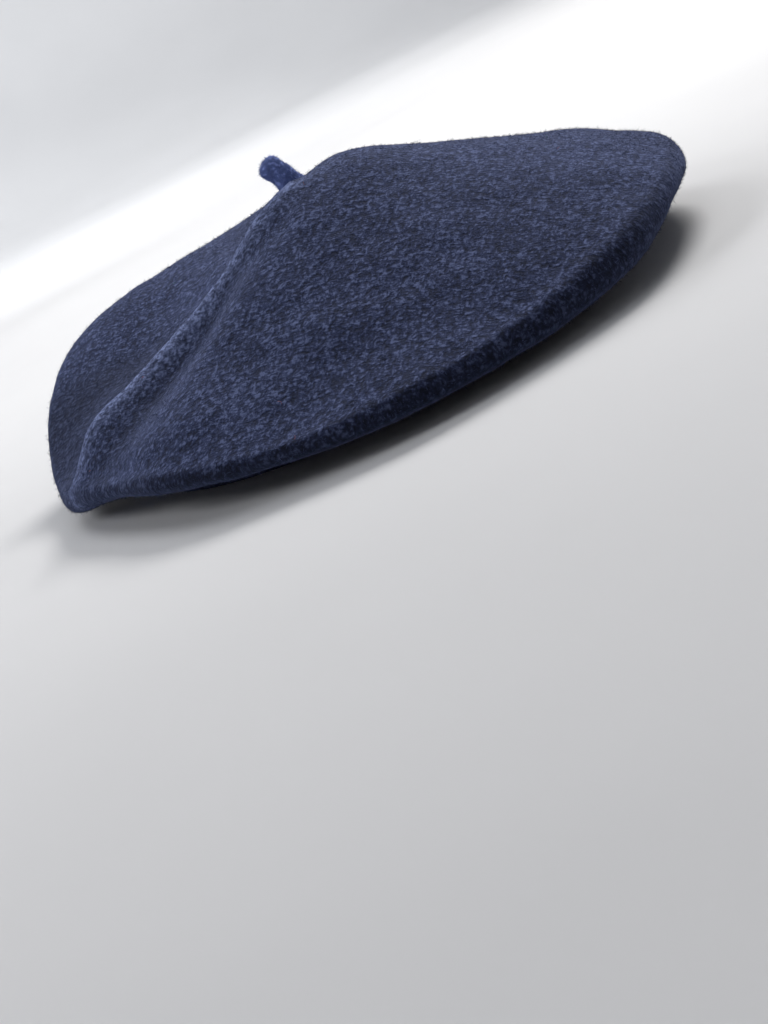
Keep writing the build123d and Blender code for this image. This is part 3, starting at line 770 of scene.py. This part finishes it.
for j in range(NS):
    f.append([MS * NS, (j + 1) % NS, j])
    f.append([MS * NS + 1, (MS - 1) * NS + j, (MS - 1) * NS + (j + 1) % NS])
stalk = outward(mesh_object("stalk_felt", v, f, stalk_felt_painted_light))
fibre_n = unit(ring + 1e-9)
lo = int(np.searchsorted(dist, 1.6))
p, m = on_grid(sv[lo:], fibre_n[lo:], rng, 2200)
cap = rng.normal(size=(160, 3))
cap = unit(cap + 1.2 * s_dir)
stalk_nap = fibres("stalk_nap", p, m, rng, (0.6, 1.9), (0.035, 0.07), (4, 55), stalk_nap_painted_light)
for ob in (stalk, stalk_nap):
    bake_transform(ob)
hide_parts("stalk")

# the stalk's root: neck through the felt and a stitched foot under it
def disc_body(centre, axis, radii, heights, n=48, wob=0.0, seed=0):
    """Turned body along an axis, with small unevenness."""
    x = unit(np.cross(axis, [0.31, 0.92, 0.1]))
    y = np.cross(axis, x)
    a = np.arange(n) * 2 * math.pi / n
    radial = x * np.cos(a)[:, None] + y * np.sin(a)[:, None]
    v = centre + axis * np.array(heights)[:, None, None] + radial[None] * np.array(radii)[:, None, None]
    v = v + radial[None] * (wob * noise3(v, 2.2, seed))[..., None] * (np.array(radii) > 0.3)[:, None, None]
    m = len(radii)
    f = grid_faces(m, n).tolist()
    v = np.concatenate([v.reshape(-1, 3), [centre + axis * heights[0]], [centre + axis * heights[-1]]]) * MM
    for j in range(n):
        f.append([m * n, (j + 1) % n, j])
        f.append([m * n + 1, (m - 1) * n + j, (m - 1) * n + (j + 1) % n])
    return v, f


v, f = disc_body(base, n_c, [2.1, 2.25, 2.2, 2.15, 2.3, 3.0, 3.8, 4.2, 4.32, 4.25, 3.9, 3.0, 1.6, 0.4],
                 [0.0, -0.6, -1.6, -3.0, -3.9, -4.2, -4.24, -4.4, -4.85, -5.3, -5.55, -5.62, -5.66, -5.68], 56, 0.22, 31)
on(outward(mesh_object("stalk_root_foot", v, f, felt_mat)), "crown_centre", "wool_felt", "stalk_root")
xr = unit(np.cross(n_c, [0.31, 0.92, 0.1]))
yr = np.cross(n_c, xr)
marks = []
for i in range(6):
    d = xr * math.cos(math.radians(60 * i)) + yr * math.sin(math.radians(60 * i))
    marks.append((base - n_c * 5.6 + d * 2.4, d, -n_c, 2.9, 0.55, 0.5))
on(stitches("stalk_root_thread", marks, thread_navy), "crown_centre", "thread", "stalk_root_stitches")

# ------------------------------------------------------------------ sweatband
gap = math.degrees(0.25 / HEAD_R)
NB = 400
BACK = 180.0 + math.degrees(PSI)
ba = BACK + gap + (360 - 2 * gap) * np.linspace(0, 1, NB)
hz = []
for z in np.linspace(0.55, BAND_H - 0.55, 40):      # inner face, bottom to top, with two pressed lines
    hz.append((HEAD_R + 0.22 * math.exp(-((z - 2.8) / 0.55) ** 2) + 0.18 * math.exp(-((z - (BAND_H - 2.6)) / 0.55) ** 2), z))
for q in np.linspace(0.15, math.pi - 0.15, 9):                       # rolled top edge
    hz.append((HEAD_R + 0.7 - 0.7 * math.cos(q), BAND_H - 0.5 + 0.5 * math.sin(q)))
for z in np.linspace(BAND_H - 0.6, 0.6, 8):
    hz.append((BAND_OUT, z))
for q in np.linspace(0.15, math.pi - 0.15, 9):
    hz.append((BAND_OUT - 0.7 + 0.7 * math.cos(q), 0.5 - 0.5 * math.sin(q)))
hz = np.array(hz)
ar = np.radians(ba)
dirs = np.stack([np.cos(ar) * math.sin(PSI) - np.sin(ar) * math.cos(PSI), -np.cos(ar) * math.cos(PSI) - np.sin(ar) * math.sin(PSI)], -1)
bv = np.zeros((NB, len(hz), 3))
bv[..., :2] = dirs[:, None] * hz[None, :, :1]
bv[..., 2] = hz[None, :, 1]
wav = 0.16 * noise3(bv * [1, 1, 0.25], 14.0, 41) + 0.07 * noise3(bv, 3.2, 42)
bv[..., :2] += dirs[:, None] * (wav * (0.4 + 0.6 * np.clip(bv[..., 2] / BAND_H, 0, 1)))[..., None]
bv[..., 2] += 0.12 * noise3(bv * [1, 1, 0], 17.0, 43) * (bv[..., 2] / BAND_H - 0.5)
H = len(hz)
f = grid_faces(NB, H).tolist() + [list(range(H)), [(NB - 1) * H + j for j in range(H)][::-1]]
band = outward(mesh_object("leather_sweatband", bv.reshape(-1, 3) * MM, f, leather_mat))
soft(band, "band_leather", "sweatband")


def run_round(n, z, length, skip=1.6, tilt=0.0):
    out = []
    for i in range(n):
        aa = BACK + 360.0 * (i + 0.5) / n
        if abs((aa - BACK + 180) % 360 - 180) < skip:
            continue
        r = arr(around(aa))
        t = np.array([-r[1], r[0], 0])
        lead = 0.05 * math.sin(i * 5.1)
        out.append((r * (HEAD_R + 0.16) + [0, 0, z + lead], t + [0, 0, tilt], -r, length, 0.62, 0.62))
    return out


soft(stitches("band_edge_stitches", run_round(118, 2.8, 3.7), thread_mat), "thread", "sweatband_stitches")
soft(stitches("hem_stitches", run_round(84, BAND_H - 2.6, 4.4, tilt=0.12), thread_navy), "thread", "lining_hem_stitches")
b_dir = arr(around(BACK))
t_dir = np.array([-b_dir[1], b_dir[0], 0])
zig = [(b_dir * (HEAD_R + 0.02) + [0, 0, 5.0 + i * 1.85], t_dir * 3.0 + [0, 0, 1.3 * (1 if i % 2 else -1)], -b_dir, 3.3, 0.6, 0.6) for i in range(7)]
soft(stitches("band_joint_stitches", zig, thread_mat), "thread", "sweatband_joint_stitches")

# ------------------------------------------------------------------ lining
NL = 360
al = np.arange(NL) * 360.0 / NL
tl = np.concatenate([[1.0, 2.4], np.linspace(4, 97, 52)])
n_l = normals(al, tl)
deep = LINING_D + LINING_SAG * np.exp(-(tl / 16.0) ** 2)
lp = outer(al, tl)
fan = np.sin(np.radians(al) * 23 + 2.2 * np.sin(np.radians(al) * 5 + 1.0))
slack = 0.32 * (noise3(lp, 24.0, 51) + 1) + 0.16 * (noise3(lp, 9.0, 52) + 1)
slack = slack + (0.28 * (fan + 1))[None] * np.clip((tl - 45) / 45, 0, 1)[:, None] ** 1.5
slack = slack * np.clip((97.5 - tl) / 10, 0, 1)[:, None] ** 0.5
tip_out = lp - (deep[:, None] + slack)[..., None] * n_l
tip_in = tip_out - LINING_T * n_l
body = [tip_out[::-1], tip_in]                        # out to in: from the seam over the centre and back
pole_o = tip_out[0].mean(axis=0)
pole_i = tip_in[0].mean(axis=0)
m = len(tl)
v = np.concatenate([tip_out.reshape(-1, 3), tip_in.reshape(-1, 3), [pole_o, pole_i]]) * MM
f = grid_faces(m, NL).tolist() + grid_faces(m, NL, m * NL, True).tolist()
for j in range(NL):
    k = (j + 1) % NL
    f.append([2 * m * NL, k, j])
    f.append([2 * m * NL + 1, m * NL + j, m * NL + k])
    f.append([(m - 1) * NL + j, (m - 1) * NL + k, (2 * m - 1) * NL + k, (2 * m - 1) * NL + j])
soft(outward(mesh_object("lining_crown_piece", v, f, satin_mat)), "lining_satin", "lining_tip", keep=SQ_L)

edge_in = (outer(al, [97.0]) - (LINING_D + LINING_T + 0.35) * normals(al, [97.0]))[0]
seam_r = np.hypot(edge_in[:, 0], edge_in[:, 1])[:, None]
seam_d = edge_in * [1, 1, 0] / seam_r
low_r, low_z = BAND_OUT + 0.35, BAND_H - 5.0
pleat = np.sin(np.radians(al) * 37 + 2.6 * np.sin(np.radians(al) * 7) + 1.7 * np.sin(np.radians(al) * 3 + 0.6))[:, None]
outs, ins = [], []
for fr in np.linspace(0, 0.93, 44):
    r = seam_r + (low_r + 1.0 - seam_r) * fr + 2.4 * np.sin(math.pi * fr)
    z = edge_in[:, 2:3] + (BAND_H + 1.5 - edge_in[:, 2:3]) * fr
    q = seam_d * r + np.array([0, 0, 1.0]) * z
    fold_in = (0.35 + 0.65 * np.sin(math.pi * fr)) * np.clip(fr / 0.08, 0, 1) * (0.55 * (pleat + 1) + 0.45 * (noise3(q, 12.0, 55)[:, None] + 1))
    q = q - seam_d * fold_in * np.clip((0.93 - fr) / 0.2, 0.25, 1)
    outs.append(q)
    ins.append(q - seam_d * LINING_T * 0.8 - np.array([0, 0, 0.3]))
for z in (BAND_H - 1.0, BAND_H - 3.0, low_z):
    q = seam_d * (low_r + LINING_T) + np.array([0, 0, z])
    outs.append(q)
    ins.append(q - seam_d * LINING_T)
soft(outward(thin_rings("lining_side_piece", np.array(outs), np.array(ins), satin_mat)), "lining_satin", "lining_side", keep=SQ_L)
ang = np.arange(0, 360, 4.5)
sp = outer(ang, [94.0])[0]
sn = normals(ang, [94.0])[0]
sq = sp - (LINING_D + LINING_T + 0.42) * sn
marks = [(sq[i], np.roll(sq, -1, 0)[i] - np.roll(sq, 1, 0)[i], -sn[i], 3.5, 0.5, 0.5) for i in range(len(ang))]
soft(stitches("lining_seam_thread", marks, thread_navy), "thread", "lining_seam_stitches", keep=SQ_L)

# ------------------------------------------------------------------ woven label under the middle of the lining
gaz, gt = np.arange(0, 360, 10.0), np.arange(2, 38, 3.0)
gd = LINING_D + LINING_SAG * np.exp(-(gt / 16.0) ** 2) + LINING_T
cloud = (outer(gaz, gt) - gd[:, None, None] * normals(gaz, gt)).reshape(-1, 3)


def terms(x, y):
    x, y = np.asarray(x) / 30.0, np.asarray(y) / 30.0
    return np.stack([x ** i * y ** j for i in range(5) for j in range(5 - i)], -1)


coef = np.linalg.lstsq(terms(cloud[:, 0], cloud[:, 1]), cloud[:, 2], rcond=None)[0]
drop = -(cloud[:, 2] - terms(cloud[:, 0], cloud[:, 1]) @ coef).min() + 1.1
LABEL_W, LABEL_D, LABEL_T, LX, LY = 44.0, 24.0, 0.6, 2.0, -4.0
nx, ny = 67, 41
gx, gy = np.meshgrid(np.linspace(-0.5, 0.5, nx), np.linspace(-0.5, 0.5, ny), indexing="ij")
x = LX + gx * LABEL_W + 0.18 * noise3(np.stack([gy * 40, gx * 0, gx * 0], -1), 5.0, 61) * (2 * np.abs(gx)) ** 6
y = LY + gy * LABEL_D + 0.16 * noise3(np.stack([gx * 60, gx * 0, gx * 0 + 9], -1), 4.0, 62) * (2 * np.abs(gy)) ** 6
low = terms(x, y) @ coef - drop
puff = 0.16 * noise3(np.stack([x, y, 0 * x], -1), 8.0, 63) - 0.22 * np.exp(-((0.5 - np.abs(gx)) * LABEL_W / 1.6) ** 2) * 0
hem = 0.28 / (1 + np.exp(((0.5 - np.abs(gx)) * LABEL_W - 3.4) / 0.18))             # the ends are folded under once
top_l = np.stack([x, y, low + puff], -1)
bot_l = np.stack([x, y, low + puff - LABEL_T * 0.75 - hem], -1)
v = np.concatenate([top_l.reshape(-1, 3), bot_l.reshape(-1, 3)]) * MM
f = []
for i in range(nx - 1):
    for j in range(ny - 1):
        a0 = i * ny + j
        f.append([a0, a0 + ny, a0 + ny + 1, a0 + 1])
        f.append([a0 + nx * ny + 1, a0 + nx * ny + ny + 1, a0 + nx * ny + ny, a0 + nx * ny])
rim = [i * ny for i in range(nx)] + [(nx - 1) * ny + j for j in range(1, ny)] + [i * ny + ny - 1 for i in range(nx - 2, -1, -1)] + [j for j in range(ny - 2, 0, -1)]
for i in range(len(rim)):
    a0, a1 = rim[i], rim[(i + 1) % len(rim)]
    f.append([a1, a0, a0 + nx * ny, a1 + nx * ny])
on(outward(mesh_object("woven_name_label", v, f, label_mat)), "crown_centre", "label_weave", "woven_label")
marks = []
ex, ey = LABEL_W / 2 - 1.3, LABEL_D / 2 - 1.3
spots = [(xx, s * ey, 1, 0) for s in (-1, 1) for xx in np.arange(-ex + 2.2, ex, 3.6)] + [(s * ex, yy, 0, 1) for s in (-1, 1) for yy in np.arange(-ey + 2.0, ey, 3.6)]
for xx, yy, dx, dy in spots:
    p0 = np.array([xx + LX, yy + LY])
    h = lambda q: float(terms(q[0], q[1]) @ coef) - drop
    end = 0.28 if LABEL_W / 2 - abs(xx) < 3.2 else 0.0
    p1 = p0 + [dx, dy]
    tg3 = np.array([dx, dy, h(p1) - h(p0)])
    marks.append(([p0[0], p0[1], h(p0) - LABEL_T * 0.75 - end - 0.02], tg3, (0, 0, -1), 2.3, 0.42, 0.5))
on(stitches("woven_label_thread", marks, thread_mat), "crown_centre", "thread", "woven_label_stitches")

# ------------------------------------------------------------------ care label
c_dir = arr(around(252.0))
c_tan = np.array([-c_dir[1], c_dir[0], 0])
nx, ny = 25, 41
gx, gy = np.meshgrid(np.linspace(-1, 1, nx), np.linspace(0, 1, ny), indexing="ij")
corner = np.clip((gy - 0.95) / 0.05, 0, 1)
half = 7.0 - 1.2 * (1 - np.sqrt(np.clip(1 - corner ** 2, 0, 1)))
bow_out = 0.5 * np.sin(gy * 2.6) * (1 - 0.5 * gx ** 2) + 0.18 * noise3(np.stack([gx * 6, gy * 20, 0 * gx], -1), 6.0, 71) * gy
pts = c_dir * (86.3 + bow_out[..., None]) + c_tan * (gx * half)[..., None] + np.array([0, 0, 1.0]) * (50.0 - 24.0 * gy)[..., None]
v = np.concatenate([(pts + c_dir * 0.2).reshape(-1, 3), (pts - c_dir * 0.2).reshape(-1, 3)]) * MM
f = []
for i in range(nx - 1):
    for j in range(ny - 1):
        a0 = i * ny + j
        f.append([a0, a0 + ny, a0 + ny + 1, a0 + 1])
        f.append([a0 + nx * ny + 1, a0 + nx * ny + ny + 1, a0 + nx * ny + ny, a0 + nx * ny])
rim = [i * ny for i in range(nx)] + [(nx - 1) * ny + j for j in range(1, ny)] + [i * ny + ny - 1 for i in range(nx - 2, -1, -1)] + [j for j in range(ny - 2, 0, -1)]
for i in range(len(rim)):
    a0, a1 = rim[i], rim[(i + 1) % len(rim)]
    f.append([a1, a0, a0 + nx * ny, a1 + nx * ny])
care = on(outward(mesh_object("care_label_tape", v, f, care_mat)), "care_label", "care_tape", "care_label")
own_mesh(care)


# ------------------------------------------------------------------ ribbon bow over the band's joint
def ribbon(path, width, up, thick=0.42):
    """Strip of ribbon: path (m, 3), its width direction up, width (m,)."""
    tg = unit(np.gradient(path, axis=0))
    out = unit(np.cross(tg, up))
    m, n = len(path), 9
    w = np.linspace(-1, 1, n)
    dish = 0.16 * (w ** 2)
    a = path[:, None] + up[:, None] * (w[None] * width[:, None] / 2)[..., None] + out[:, None] * (dish[None] + thick / 2)[..., None]
    b = a - out[:, None] * thick
    v = np.concatenate([a.reshape(-1, 3), b.reshape(-1, 3)])
    f = []
    for i in range(m - 1):
        for j in range(n - 1):
            a0 = i * n + j
            f.append([a0, a0 + n, a0 + n + 1, a0 + 1])
            f.append([a0 + m * n + 1, a0 + m * n + n + 1, a0 + m * n + n, a0 + m * n])
    rim = [i * n for i in range(m)] + [(m - 1) * n + j for j in range(1, n)] + [i * n + n - 1 for i in range(m - 2, -1, -1)] + [j for j in range(n - 2, 0, -1)]
    for i in range(len(rim)):
        a0, a1 = rim[i], rim[(i + 1) % len(rim)]
        f.append([a1, a0, a0 + m * n, a1 + m * n])
    return v * MM, f


bow_c = b_dir * 86.6 + np.array([0, 0, 24.0])
parts = []
for s in (-1, 1):
    q = np.linspace(0.25, 2 * math.pi - 0.25, 46)                     # a loop, from the knot and back to it
    lx, ly = s * (8.0 - 7.4 * np.cos(q)), -1.75 * np.sin(q) * (0.55 + 0.45 * np.clip((8 - 7.4 * np.cos(q)) / 8, 0, 1))
    w = 2.6 + 1.4 * np.clip((8 - 7.4 * np.cos(q)) / 6, 0, 1) ** 0.7
    drp = -0.012 * (8 - 7.4 * np.cos(q)) ** 2 * 0.9
    path = bow_c + t_dir * lx[:, None] + b_dir * (ly - 0.2)[:, None] + np.array([0, 0, 1.0]) * drp[:, None]
    zup = unit(np.array([0, 0, 1.0]) + t_dir * (0.10 * s) + 0 * path)
    parts.append(ribbon(path, w, zup))
    q = np.linspace(0, 1, 24)                                         # and a tail, with its end cut on the slant
    path = bow_c + t_dir * (s * (1.0 + 10.8 * q))[:, None] - b_dir * (1.95 + 0.25 * np.sin(q * 5))[:, None] - np.array([0, 0, 1.0]) * (0.4 + 2.3 * q ** 1.3)[:, None]
    zup = unit(np.array([0, 0, 1.0]) + t_dir * (0.34 * s) * q[:, None])
    parts.append(ribbon(path, 2.2 + 0.9 * np.clip(q / 0.4, 0, 1), zup))
v, f = join(parts)
bow = mesh_object("bow_loops_and_tails", v, f, ribbon_mat)
soft(bow, "ribbon", "ribbon_bow")
q = np.linspace(0, 1, 21)
kp = bow_c - b_dir * 0.5 + np.array([0, 0, 1.0]) * (-2.6 + 5.2 * q)[:, None]
kw = 2.2 * (1 - np.abs(2 * q - 1) ** 6) ** 0.5 * (1 - 0.12 * np.cos(2 * math.pi * q)) + 0.05
kh = 1.8 * (1 - np.abs(2 * q - 1) ** 5) ** 0.5 + 0.05
one = np.ones((21, 1))
kv, f = tube(kp, one * t_dir, one * -b_dir, kw, kh, 28, 3.2)
rib = kv[:-2].reshape(21, 28, 3)
rib += -b_dir * (0.14 * np.sin((rib @ t_dir) * 4.2))[..., None]
kv[:-2] = rib.reshape(-1, 3)
soft(outward(mesh_object("bow_knot", kv * MM, f, ribbon_mat)), "ribbon", "ribbon_bow_knot")

# ------------------------------------------------------------------ pale stand, lights and camera
wall = Nodes("paper_white")
tex = wall.noise(3.0, 3.0, 0.5)
wall.put("Base Color", wall.ramp(tex, [(0.3, (0.70, 0.70, 0.71)), (0.7, (0.76, 0.76, 0.77))]))
wall.put("Roughness", 0.9)
rr, prof = [], []
for q in np.linspace(0, 1.7, 30):
    prof.append((q, 0.0))
for q in np.linspace(0.02, math.pi / 2, 40):
    prof.append((1.7 + 0.9 * math.sin(q), 0.9 - 0.9 * math.cos(q)))
for q in np.linspace(1.0, 3.4, 20):
    prof.append((2.6, q))
prof = np.array(prof[1:])
n = 96
a = np.arange(n) * 2 * math.pi / n
v = np.zeros((len(prof), n, 3))
v[..., 0] = prof[:, None, 0] * np.cos(a)
v[..., 1] = prof[:, None, 0] * np.sin(a)
v[..., 2] = prof[:, None, 1] - 0.0006
v = np.concatenate([v.reshape(-1, 3), [[0, 0, -0.0006]]])
f = grid_faces(len(prof), n, 0, False).tolist() + [[len(prof) * n, j, (j + 1) % n] for j in range(n)]
bowl = mesh_object("paper_sweep", v, f, wall.mat)
bowl.visible_shadow = True


def area_light(name, direction, distance, size, power, colour, target=(0, 0, 0.03)):
    d = Vector(direction).normalized()
    li = bpy.data.lights.new(name, "AREA")
    li.shape, li.size, li.energy, li.color = "DISK", size, power, colour
    ob = bpy.data.objects.new(name, li)
    bpy.context.scene.collection.objects.link(ob)
    ob.location = Vector(target) + d * distance
    ob.rotation_euler = (-d).to_track_quat("-Z", "Y").to_euler()
    return ob


def aim(az_deg, el_deg):
    a, e = math.radians(az_deg), math.radians(el_deg)
    return uw(math.cos(a) * math.cos(e), math.sin(a) * math.cos(e), math.sin(e))


key = area_light("window_behind", aim(303, 40), 1.3, 0.6, 13.0, (1.0, 0.985, 0.96))
side = area_light("window_left", aim(238, 38), 1.3, 0.6, 4.2, (0.97, 0.98, 1.0))
over = area_light("overhead", uw(0.1, 0.1, 1.0), 1.3, 1.2, 3.0, (0.95, 0.97, 1.0))
back = area_light("backdrop_wash", uw(-0.35, -1.0, 0.9), 1.5, 1.2, 18.0, (0.96, 0.98, 1.0))
back.rotation_euler = uw(-0.2, -1.0, -0.25).to_track_quat("-Z", "Y").to_euler()
low = area_light("window_low_left", aim(168, 34), 1.25, 0.5, 3.4, (0.97, 0.98, 1.0), (0, 0, 0.06))
for ob in (key, side, over, back, low):
    ob.visible_camera = False
world = bpy.data.worlds.new("soft_room")
bpy.context.scene.world = world
world.use_nodes = True
world.node_tree.nodes["Background"].inputs[0].default_value = (0.80, 0.86, 1.0, 1)
world.node_tree.nodes["Background"].inputs[1].default_value = 0.06
bpy.context.scene.view_settings.view_transform = "Standard"
bpy.context.scene.view_settings.look = "None"

cam = bpy.data.cameras.new("camera")
cam.sensor_fit, cam.sensor_width, cam.lens = "AUTO", 36.0, 71.1914
cam.clip_start, cam.clip_end = 0.05, 20.0
cam.dof.use_dof = False
camera = bpy.data.objects.new("camera", cam)
bpy.context.scene.collection.objects.link(camera)
right, upv, backv = Vector((0.342584, -0.82486, -0.449714)), Vector((0.425804, -0.290367, 0.856958)), Vector((-0.837453, -0.48507, 0.251754))
rot = Matrix((right, upv, backv)).transposed().to_4x4()
camera.matrix_world = Matrix.Translation(Vector((-0.739168 * math.cos(PSI), -0.739168 * math.sin(PSI), 0.141005))) @ rot
bpy.context.scene.camera = camera
